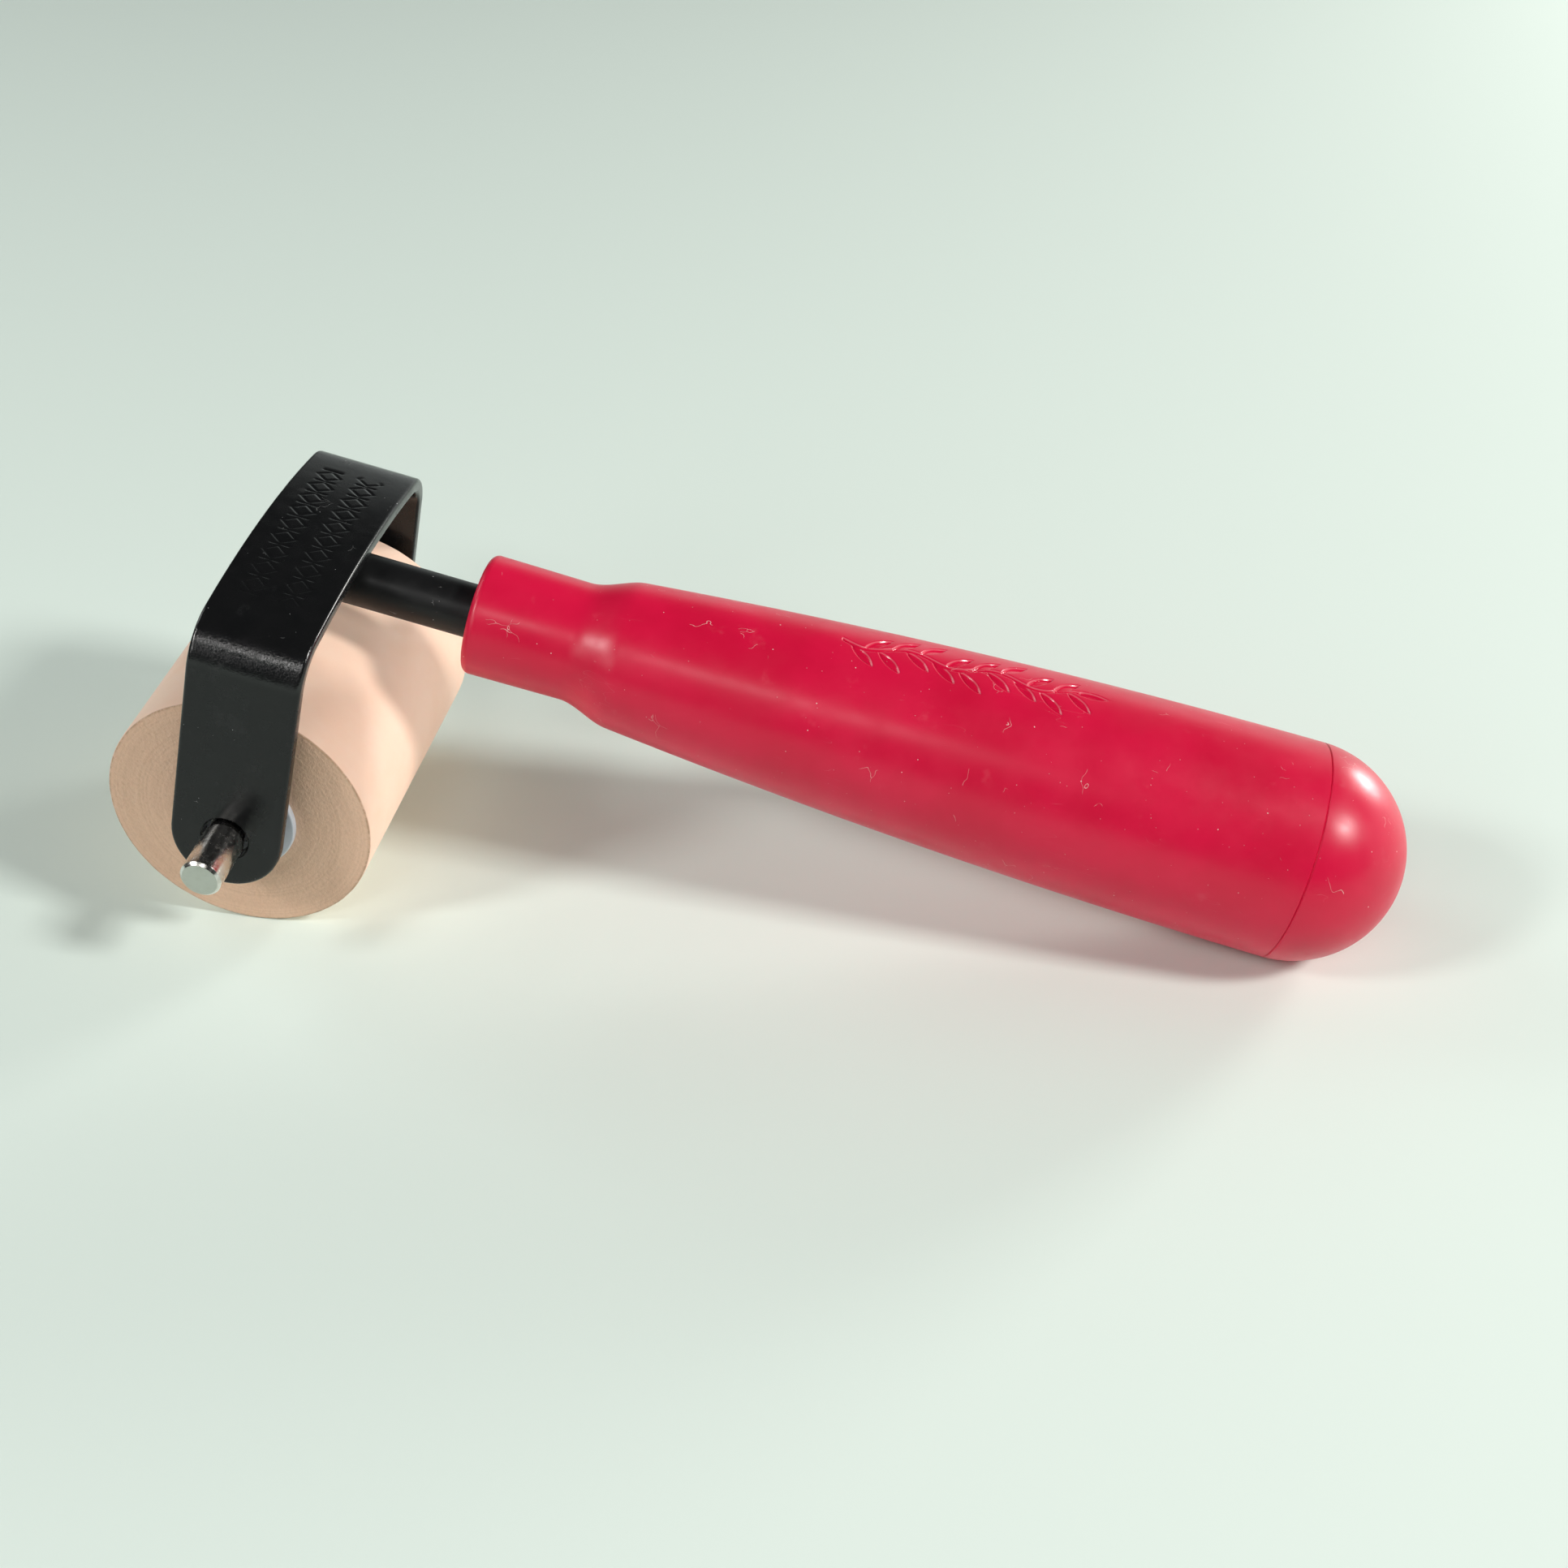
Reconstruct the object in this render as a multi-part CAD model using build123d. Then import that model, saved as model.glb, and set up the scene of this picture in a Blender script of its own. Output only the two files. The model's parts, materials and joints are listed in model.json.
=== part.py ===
from build123d import *
import math
import os

# A two inch soft rubber brayer, in millimetres.
#
# Each piece is drawn in the tool's own frame: the axle lies on Y through the origin, the two arms
# of the frame point up along +Z, and the handle points along +X. rest_place then leans the whole
# tool back until the roller and the end of the handle both touch the plane Z = 0, and puts the
# middle of its footprint at the origin.

# ---- driving dimensions ----

# roller
ROLLER_LENGTH = 50.8
ROLLER_RADIUS = 20.75
ROLLER_EDGE_RADIUS = 0.35
CORE_RADIUS = 8.0
CORE_BORE_RADIUS = 6.0

# axle and the two bushings that the roller turns on
AXLE_RADIUS = 3.15
AXLE_LENGTH = 82.2
AXLE_CHAMFER = 0.45
AXLE_SEAT_RADIUS = 2.85
AXLE_SEAT_INNER = 28.6
AXLE_SEAT_OUTER = 31.7
RUNNING_GAP = 0.05
PRESSED_GAP = 0.02
PLUG_LENGTH = 12.0
FLANGE_RADIUS = 9.05
FLANGE_THICKNESS = 1.0
FLANGE_EDGE_RADIUS = 0.3
BOSS_RADIUS = 5.5
BOSS_LENGTH = 1.6

# frame: one steel strap, bent into two arms and a crowned top
STRAP_WIDTH = 17.0
STRAP_THICKNESS = 2.4
STRAP_EDGE_RADIUS = 0.6
ARM_SPREAD_AT_AXLE = 31.3
ARM_SPREAD_AT_TOP = 28.7
TOP_HEIGHT = 37.2
TOP_CROWN = 3.1
SHOULDER_RADIUS = 7.8
AXLE_HOLE_RADIUS = 3.55
HOLE_EDGE_CHAMFER = 0.25

# stem: a round rod, welded under the strap's top and pushed into the handle
STEM_RADIUS = 4.2
STEM_FRONT = -7.0
STEM_END_CHAMFER = 0.5
WELD_RADIUS = 1.5
WELD_LENGTH = 12.0
WELD_END_RADIUS = 0.9
WELD_ANGLE = 54.0

# handle
HANDLE_FRONT = 26.2
HANDLE_LENGTH = 129.2
NECK_FRONT_RADIUS = 9.35
NECK_REAR_RADIUS = 9.2
NECK_LENGTH = 15.4
NECK_EDGE_RADIUS = 1.2
SHOULDER_END = 23.6
SHOULDER_END_RADIUS = 11.5
SHOULDER_END_SLOPE = 0.097
BARREL_MIDDLE_RADIUS = 15.46
SEAM_RADIUS = 17.0
SEAM_CHAMFER = 0.18
SOCKET_LENGTH = 60.0
SOCKET_RADIUS = 7.0
RIB_THICKNESS = 1.8
RIB_COUNT = 4
HOLLOW_FRONT = 30.0
HOLLOW_FRONT_RADIUS = 9.4
HOLLOW_REAR_RADIUS = 13.6
CAP_SEAT_DEPTH = 9.0
CAP_SEAT_RADIUS = 14.4
CAP_SPIGOT_LENGTH = 8.0
CAP_WALL = 2.6

# push-on nut that keeps the stem from pulling out of its socket
NUT_RADIUS = 8.4
NUT_THICKNESS = 0.8
NUT_RING_RADIUS = 6.4
NUT_SLOT_WIDTH = 1.1
NUT_SLOTS = 6
STEM_BEYOND_SOCKET = 6.0

# ---- shared by the functions below ----

CUT_LENGTH = 200.0  # cutting rods and blocks run well past both ends of the axle
CLOSE = 0.1  # two places nearer than this count as one
ALONG_AXIS = 0.99  # least share of a direction on an axis for it to count as along that axis
QUARTER_TURN = 90
FULL_TURN = 360

# ---- worked-out places ----

STEM_HEIGHT = TOP_HEIGHT - STRAP_THICKNESS - STEM_RADIUS
SEAM_X = HANDLE_FRONT + HANDLE_LENGTH
SOCKET_END_X = HANDLE_FRONT + SOCKET_LENGTH
STEM_BORE_RADIUS = STEM_RADIUS + RUNNING_GAP

# The tool leans back until one line touches both the roller and the round end of the handle.
reach = math.hypot(SEAM_X, STEM_HEIGHT)
lean = math.acos((SEAM_RADIUS - ROLLER_RADIUS) / reach) - math.atan2(SEAM_X, STEM_HEIGHT)
rear_end_x = SEAM_X * math.cos(lean) + STEM_HEIGHT * math.sin(lean) + SEAM_RADIUS
footprint_middle_x = (rear_end_x - ROLLER_RADIUS) / 2
rest_place = Location((-footprint_middle_x, 0, ROLLER_RADIUS), (0, math.degrees(lean), 0))


def rod_along_y(radius, length, middle=0.0):
    """A cylinder on the axle's line, with its middle at Y = middle."""
    return Location((0, middle, 0), (QUARTER_TURN, 0, 0)) * Cylinder(radius, length)


def rod_along_x(radius, length, middle):
    """A cylinder on the centre line of the stem and handle, with its middle at X = middle."""
    return Location((middle, 0, STEM_HEIGHT), (0, QUARTER_TURN, 0)) * Cylinder(radius, length)


def turned_about_stem(profile):
    """Turns a profile, drawn as X and radius, about the centre line of the stem and handle."""
    return Pos(0, 0, STEM_HEIGHT) * revolve(Plane.XZ * profile, Axis.X)


def make_rubber_sleeve():
    sleeve = rod_along_y(ROLLER_RADIUS, ROLLER_LENGTH)
    sleeve = fillet(sleeve.edges().filter_by(GeomType.CIRCLE), ROLLER_EDGE_RADIUS)
    return sleeve - rod_along_y(CORE_RADIUS, ROLLER_LENGTH)


def make_roller_core():
    core = rod_along_y(CORE_RADIUS - PRESSED_GAP, ROLLER_LENGTH)
    return core - rod_along_y(CORE_BORE_RADIUS, ROLLER_LENGTH)


def make_bushing(side):
    """A flanged plug with a spacer boss. side is +1 for the +Y end and -1 for the -Y end."""
    face = side * ROLLER_LENGTH / 2
    flange = rod_along_y(FLANGE_RADIUS, FLANGE_THICKNESS, face + side * FLANGE_THICKNESS / 2)
    rims = flange.edges().filter_by(GeomType.CIRCLE).sort_by(Axis.Y)
    flange = fillet(rims[-1] if side > 0 else rims[0], FLANGE_EDGE_RADIUS)
    plug = rod_along_y(CORE_BORE_RADIUS - PRESSED_GAP, PLUG_LENGTH, face - side * PLUG_LENGTH / 2)
    outer = FLANGE_THICKNESS + BOSS_LENGTH
    boss = rod_along_y(BOSS_RADIUS, outer, face + side * outer / 2)
    return flange + plug + boss - rod_along_y(AXLE_RADIUS + RUNNING_GAP, CUT_LENGTH)


def make_axle_pin():
    """A plain rod with a shallow groove where each arm of the frame sits on it."""
    pin = rod_along_y(AXLE_RADIUS, AXLE_LENGTH)
    pin = chamfer(pin.edges().filter_by(GeomType.CIRCLE), AXLE_CHAMFER)
    seat_width = AXLE_SEAT_OUTER - AXLE_SEAT_INNER
    seat_middle = (AXLE_SEAT_OUTER + AXLE_SEAT_INNER) / 2
    for side in (-1, 1):
        ring = rod_along_y(2 * AXLE_RADIUS, seat_width, side * seat_middle)
        pin -= ring - rod_along_y(AXLE_SEAT_RADIUS, seat_width, side * seat_middle)
    return pin


def strap_line():
    """The outer face of the strap in the YZ plane: arm, shoulder, crowned top, shoulder, arm."""
    foot_z = -STRAP_WIDTH / 2
    corner_z = TOP_HEIGHT - TOP_CROWN
    splay = (ARM_SPREAD_AT_AXLE - ARM_SPREAD_AT_TOP) / corner_z
    foot_y = ARM_SPREAD_AT_AXLE - splay * foot_z
    near_arm = Line((-foot_y, foot_z), (-ARM_SPREAD_AT_TOP, corner_z))
    top = ThreePointArc((-ARM_SPREAD_AT_TOP, corner_z), (0, TOP_HEIGHT), (ARM_SPREAD_AT_TOP, corner_z))
    far_arm = Line((ARM_SPREAD_AT_TOP, corner_z), (foot_y, foot_z))
    line = Wire([near_arm, top, far_arm])
    corners = [v for v in line.vertices() if v.Y > 0]
    return line.fillet_2d(SHOULDER_RADIUS, corners)


def make_frame_strap():
    outer = strap_line()
    inner = outer.offset_2d(STRAP_THICKNESS, side=Side.RIGHT, closed=False)
    ends = [Line(outer @ 0, inner @ 0), Line(outer @ 1, inner @ 1)]
    section = make_face([*outer.edges(), *inner.edges(), *ends])
    strap = extrude(Plane.YZ * section, STRAP_WIDTH / 2, both=True)
    # each arm ends in a half circle round the axle
    round_end = rod_along_y(STRAP_WIDTH / 2, CUT_LENGTH)
    above_axle = Pos(0, 0, TOP_HEIGHT) * Box(STRAP_WIDTH, CUT_LENGTH, 2 * TOP_HEIGHT)
    strap = strap & (round_end + above_axle)
    strap = fillet(strap.edges().filter_by(is_long_edge), STRAP_EDGE_RADIUS)
    strap -= rod_along_y(AXLE_HOLE_RADIUS, CUT_LENGTH)
    return chamfer(strap.edges().filter_by(is_hole_rim), HOLE_EDGE_CHAMFER)


def is_long_edge(edge):
    """True for the edges that run along the strap's two faces, false for those across it."""
    half_way = 0.5
    return abs(edge.tangent_at(half_way).X) < ALONG_AXIS or edge.center().Z < 0


def is_hole_rim(edge):
    """True for the rims of the two axle holes."""
    box = edge.bounding_box()
    on_axle = math.hypot(box.center().X, box.center().Z) < CLOSE
    return on_axle and box.size.X < STRAP_WIDTH / 2


def make_stem():
    rear = SOCKET_END_X + STEM_BEYOND_SOCKET
    stem = rod_along_x(STEM_RADIUS, rear - STEM_FRONT, (rear + STEM_FRONT) / 2)
    return chamfer(stem.edges().filter_by(GeomType.CIRCLE), STEM_END_CHAMFER)


def make_weld_beads(stem, strap):
    """Two fillet welds, one in each corner between the stem's sides and the strap above it."""
    across = STEM_RADIUS * math.sin(math.radians(WELD_ANGLE))
    height = STEM_HEIGHT + STEM_RADIUS * math.cos(math.radians(WELD_ANGLE)) + WELD_RADIUS / 2
    beads = []
    for side in (-1, 1):
        bead = Cylinder(WELD_RADIUS, WELD_LENGTH)
        bead = fillet(bead.edges().filter_by(GeomType.CIRCLE), WELD_END_RADIUS)
        place = Location((0, side * across, height), (0, QUARTER_TURN, 0))
        beads.append(place * bead - stem - strap)
    return beads[0] + beads[1]


def handle_outline():
    """The outside of the handle body from its front rim to the seam, as X and radius."""
    front = HANDLE_FRONT
    neck_end = (front + NECK_LENGTH, NECK_REAR_RADIUS)
    shoulder_end = (front + SHOULDER_END, SHOULDER_END_RADIUS)
    barrel_middle = (front + (SHOULDER_END + HANDLE_LENGTH) / 2, BARREL_MIDDLE_RADIUS)
    neck = Line((front, NECK_FRONT_RADIUS), neck_end)
    shoulder = Spline(neck_end, shoulder_end, tangents=[neck % 1, (1, SHOULDER_END_SLOPE)])
    barrel = ThreePointArc(shoulder_end, barrel_middle, (SEAM_X, SEAM_RADIUS))
    return [neck, shoulder, barrel]


def make_handle_body():
    outline = handle_outline()
    front_rim = (HANDLE_FRONT, NECK_FRONT_RADIUS)
    seam_rim = (SEAM_X, SEAM_RADIUS)
    closing = Polyline(seam_rim, (SEAM_X, 0), (HANDLE_FRONT, 0), front_rim)
    profile = make_face([*outline, *closing.edges()])
    profile = fillet(profile.vertices().group_by(Axis.X)[0].sort_by(Axis.Y)[-1], NECK_EDGE_RADIUS)
    profile = chamfer(profile.vertices().group_by(Axis.X)[-1].sort_by(Axis.Y)[-1], SEAM_CHAMFER)
    body = turned_about_stem(profile)

    hollow_front = HANDLE_FRONT + HOLLOW_FRONT
    seat_front = SEAM_X - CAP_SEAT_DEPTH
    hollow = turned_about_stem(make_face(Polyline(
        (hollow_front, SOCKET_RADIUS),
        (hollow_front, HOLLOW_FRONT_RADIUS),
        (seat_front, HOLLOW_REAR_RADIUS),
        (seat_front, CAP_SEAT_RADIUS),
        (SEAM_X, CAP_SEAT_RADIUS),
        (SEAM_X, 0),
        (SOCKET_END_X, 0),
        (SOCKET_END_X, SOCKET_RADIUS),
        close=True,
    ).edges()))
    rib_middle = ((SOCKET_END_X + hollow_front) / 2, 0, STEM_HEIGHT)
    rib_pair = Box(SOCKET_END_X - hollow_front, RIB_THICKNESS, 2 * HOLLOW_REAR_RADIUS)
    for index in range(RIB_COUNT // 2):
        turn = QUARTER_TURN / 2 + FULL_TURN * index / RIB_COUNT
        hollow -= Location(rib_middle, (turn, 0, 0)) * rib_pair
    body -= hollow
    socket_middle = SOCKET_END_X - SOCKET_LENGTH / 2
    return body - rod_along_x(STEM_BORE_RADIUS, SOCKET_LENGTH + CLOSE, socket_middle)


def make_handle_cap():
    """A hollow half ball with a ring at its mouth that sits inside the handle body."""
    ball = Pos(SEAM_X, 0, STEM_HEIGHT) * Sphere(SEAM_RADIUS)
    behind_seam = Pos(SEAM_X + SEAM_RADIUS, 0, STEM_HEIGHT) * Box(*[2 * SEAM_RADIUS] * 3)
    dome = ball & behind_seam
    dome = chamfer(dome.edges().filter_by(GeomType.CIRCLE), SEAM_CHAMFER)
    spigot_middle = SEAM_X - CAP_SPIGOT_LENGTH / 2
    spigot_radius = CAP_SEAT_RADIUS - RUNNING_GAP
    hollow_radius = spigot_radius - CAP_WALL
    cap = dome + rod_along_x(spigot_radius, CAP_SPIGOT_LENGTH, spigot_middle)
    cap -= rod_along_x(hollow_radius, CAP_SPIGOT_LENGTH, spigot_middle)
    return cap - Pos(SEAM_X, 0, STEM_HEIGHT) * Sphere(hollow_radius)


def make_push_nut():
    """A spring steel disc whose slotted fingers grip the stem behind its socket."""
    place = Location((SOCKET_END_X + NUT_THICKNESS / 2, 0, STEM_HEIGHT), (0, QUARTER_TURN, 0))
    nut = Cylinder(NUT_RADIUS, NUT_THICKNESS) - Cylinder(STEM_BORE_RADIUS, NUT_THICKNESS)
    slot = Pos(NUT_RING_RADIUS / 2, 0, 0) * Box(NUT_RING_RADIUS, NUT_SLOT_WIDTH, NUT_THICKNESS)
    for index in range(NUT_SLOTS):
        nut -= Rot(0, 0, FULL_TURN * index / NUT_SLOTS) * slot
    return place * nut


frame_strap = make_frame_strap()
stem = make_stem()
pieces = {
    "rubber_sleeve": make_rubber_sleeve(),
    "roller_core": make_roller_core(),
    "bushing_left": make_bushing(-1),
    "bushing_right": make_bushing(1),
    "axle_pin": make_axle_pin(),
    "frame_strap": frame_strap,
    "stem": stem,
    "weld_beads": make_weld_beads(stem, frame_strap),
    "handle_body": make_handle_body(),
    "handle_cap": make_handle_cap(),
    "push_nut": make_push_nut(),
}

os.makedirs("parts", exist_ok=True)
for name, piece in pieces.items():
    export_step(rest_place * piece, f"parts/{name}.step")
print("lean in degrees", round(math.degrees(lean), 3))
print("footprint middle X", round(footprint_middle_x, 3))
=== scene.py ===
"""Looks for the rubber brayer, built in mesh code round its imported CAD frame.

Each visible piece is drawn in the tool's own frame, in millimetres: the axle lies on Y through the
origin, the arms point up along +Z and the handle along +X. TO_ROW then puts it where the CAD has it.
"""

import json
import math

import bmesh
import bpy
from mathutils import Matrix, Quaternion, Vector, noise


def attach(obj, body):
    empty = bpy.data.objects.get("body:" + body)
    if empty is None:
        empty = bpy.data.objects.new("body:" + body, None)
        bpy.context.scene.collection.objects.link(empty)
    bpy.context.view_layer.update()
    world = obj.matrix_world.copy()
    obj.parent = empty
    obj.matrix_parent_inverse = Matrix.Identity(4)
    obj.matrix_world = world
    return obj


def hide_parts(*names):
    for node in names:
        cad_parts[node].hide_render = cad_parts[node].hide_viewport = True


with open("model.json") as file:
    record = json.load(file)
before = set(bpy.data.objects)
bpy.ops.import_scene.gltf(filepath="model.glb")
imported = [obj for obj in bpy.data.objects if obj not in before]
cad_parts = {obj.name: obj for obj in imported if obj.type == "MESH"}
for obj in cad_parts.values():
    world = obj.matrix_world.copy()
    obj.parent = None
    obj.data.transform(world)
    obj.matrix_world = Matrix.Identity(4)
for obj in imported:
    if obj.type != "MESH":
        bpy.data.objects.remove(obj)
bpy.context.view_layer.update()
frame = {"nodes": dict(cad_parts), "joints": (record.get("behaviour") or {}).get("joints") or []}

# ---- dimensions, in millimetres: the same as the CAD source ----

ROLLER_LENGTH = 50.8
ROLLER_RADIUS = 20.75
ROLLER_EDGE_RADIUS = 0.35
CORE_RADIUS = 8.0

AXLE_RADIUS = 3.15
AXLE_LENGTH = 82.2
AXLE_CHAMFER = 0.45
AXLE_SEAT_RADIUS = 2.85
AXLE_SEAT_INNER = 28.6
AXLE_SEAT_OUTER = 31.7
BUSHING_BORE = 3.2
PLUG_RADIUS = 5.98
PLUG_LENGTH = 12.0
FLANGE_RADIUS = 9.05
FLANGE_THICKNESS = 1.0
FLANGE_EDGE_RADIUS = 0.3
BOSS_RADIUS = 5.5
BOSS_LENGTH = 1.6

STRAP_WIDTH = 17.0
STRAP_THICKNESS = 2.4
STRAP_EDGE_RADIUS = 0.6
ARM_SPREAD_AT_AXLE = 31.3
ARM_SPREAD_AT_TOP = 28.7
TOP_HEIGHT = 37.2
TOP_CROWN = 3.1
SHOULDER_RADIUS = 7.8
AXLE_HOLE_RADIUS = 3.55
HOLE_EDGE_CHAMFER = 0.25

STEM_RADIUS = 4.2
STEM_FRONT = -7.0
STEM_REAR = 92.2
STEM_END_CHAMFER = 0.5
STEM_HEIGHT = TOP_HEIGHT - STRAP_THICKNESS - STEM_RADIUS
WELD_RADIUS = 1.5
WELD_LENGTH = 12.0
WELD_ANGLE = math.radians(54.0)

HANDLE_FRONT = 26.2
HANDLE_LENGTH = 129.2
NECK_FRONT_RADIUS = 9.35
NECK_REAR_RADIUS = 9.2
NECK_LENGTH = 15.4
NECK_EDGE_RADIUS = 1.2
SHOULDER_END = 23.6
SHOULDER_END_RADIUS = 11.5
SHOULDER_END_SLOPE = 0.097
BARREL_MIDDLE_RADIUS = 15.46
SEAM_RADIUS = 17.0
SEAM_CHAMFER = 0.18
SEAM_X = HANDLE_FRONT + HANDLE_LENGTH
STEM_BORE = 4.25
SOCKET_END_X = 86.2
SOCKET_RADIUS = 7.0
HOLLOW_FRONT_X = 56.2
HOLLOW_FRONT_RADIUS = 9.4
HOLLOW_REAR_RADIUS = 13.6
CAP_SEAT_DEPTH = 9.0
CAP_SEAT_RADIUS = 14.4
SPIGOT_LENGTH = 8.0
SPIGOT_RADIUS = 14.35
CAP_WALL = 2.6

# ---- where the tool lies: leaning back on the roller and the round end of the handle ----

MM = 0.001
REST_REACH = math.hypot(SEAM_X, STEM_HEIGHT)
LEAN = math.acos((SEAM_RADIUS - ROLLER_RADIUS) / REST_REACH) - math.atan2(SEAM_X, STEM_HEIGHT)
AXLE = Vector(frame["joints"][0]["pos_m"])
TO_ROW = Matrix.Translation(AXLE) @ Matrix.Rotation(LEAN, 4, "Y") @ Matrix.Scale(MM, 4)


# ---- small curve helpers ----


def spread(first, last, count):
    """count + 1 evenly spaced numbers from first to last."""
    return [first + (last - first) * index / count for index in range(count + 1)]


def join(*parts):
    """Joins lists of numbers or points, leaving out a start that repeats the end before it."""
    joined = []
    for part in parts:
        repeated = joined and math.dist(pair(joined[-1]), pair(part[0])) < 1e-6
        joined += part[1:] if repeated else part
    return joined


def pair(value):
    """A number as a pair, so that numbers and points can be compared alike."""
    return value if isinstance(value, tuple) else (value, 0.0)


def arc(middle, radius, start, end, count):
    """Points on a circle. Angles are in degrees, from the first axis towards the second."""
    turns = [math.radians(turn) for turn in spread(start, end, count)]
    return [(middle[0] + radius * math.cos(a), middle[1] + radius * math.sin(a)) for a in turns]


def smooth_step(low, high, value):
    """0 where value is at low, 1 where it is at high, and smooth in between."""
    share = min(1.0, max(0.0, (value - low) / (high - low)))
    return share * share * (3 - 2 * share)


# ---- meshes from patches of points ----


class Shell:
    """A closed mesh built from grids of points, in millimetres in the tool's frame."""

    def __init__(self):
        self.points = []
        self.quads = []

    def patch(self, rows, across=False, along=False):
        """Adds a grid of points. across closes each row on itself, along the last row on the first."""
        start = len(self.points)
        width = len(rows[0])
        for row in rows:
            self.points += row
        for i in range(len(rows) if along else len(rows) - 1):
            for j in range(width if across else width - 1):
                corners = [(i, j), (i, j + 1), (i + 1, j + 1), (i + 1, j)]
                quad = [start + (a % len(rows)) * width + b % width for a, b in corners]
                self.quads.append(quad)

    def build(self, name, sharp=35.0, weld=1e-4):
        """Welds the patches, turns the normals out and makes the object in the row frame."""
        mesh = bpy.data.meshes.new(name)
        mesh.from_pydata([TO_ROW @ Vector(p) for p in self.points], [], self.quads)
        work = bmesh.new()
        work.from_mesh(mesh)
        bmesh.ops.remove_doubles(work, verts=work.verts, dist=weld * MM)
        bmesh.ops.dissolve_degenerate(work, edges=work.edges, dist=weld * MM)
        bmesh.ops.recalc_face_normals(work, faces=work.faces)
        work.to_mesh(mesh)
        work.free()
        mesh.polygons.foreach_set("use_smooth", [True] * len(mesh.polygons))
        mesh.set_sharp_from_angle(angle=math.radians(sharp))
        piece = bpy.data.objects.new(name, mesh)
        bpy.context.scene.collection.objects.link(piece)
        return piece


def turned(profile, turns, place, closed=True):
    """A shell with the profile, given as places along the axis and radii, turned about that axis."""
    shell = Shell()
    shell.patch([[place(a, r, t) for t in turns] for a, r in profile], across=True, along=closed)
    return shell


def full_circle(count):
    """Evenly spaced turns round a whole circle, in radians."""
    return [math.tau * index / count for index in range(count)]


def about_axle(along, radius, turn):
    """A point at that place along the axle and distance from it."""
    return (radius * math.cos(turn), along, radius * math.sin(turn))


def about_stem(along, radius, turn):
    """turn is 0 on top of the handle and grows towards +Y."""
    return (along, radius * math.sin(turn), STEM_HEIGHT + radius * math.cos(turn))


# ---- material recipes ----

RED_DEEP = (0.61, 0.0040, 0.041)
RED_BRIGHT = (0.69, 0.0062, 0.053)
# Where the strap's bends begin, in millimetres out to the side and up from the axle.
BENDS_OUTWARD = (20.0, 23.0)
BENDS_UPWARD = (28.0, 31.0)

# a colour mix node's sockets for its factor and its two colours, which share names with others
MIX_SOCKETS = (0, 6, 7)
MIX_RESULT = 2


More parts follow.
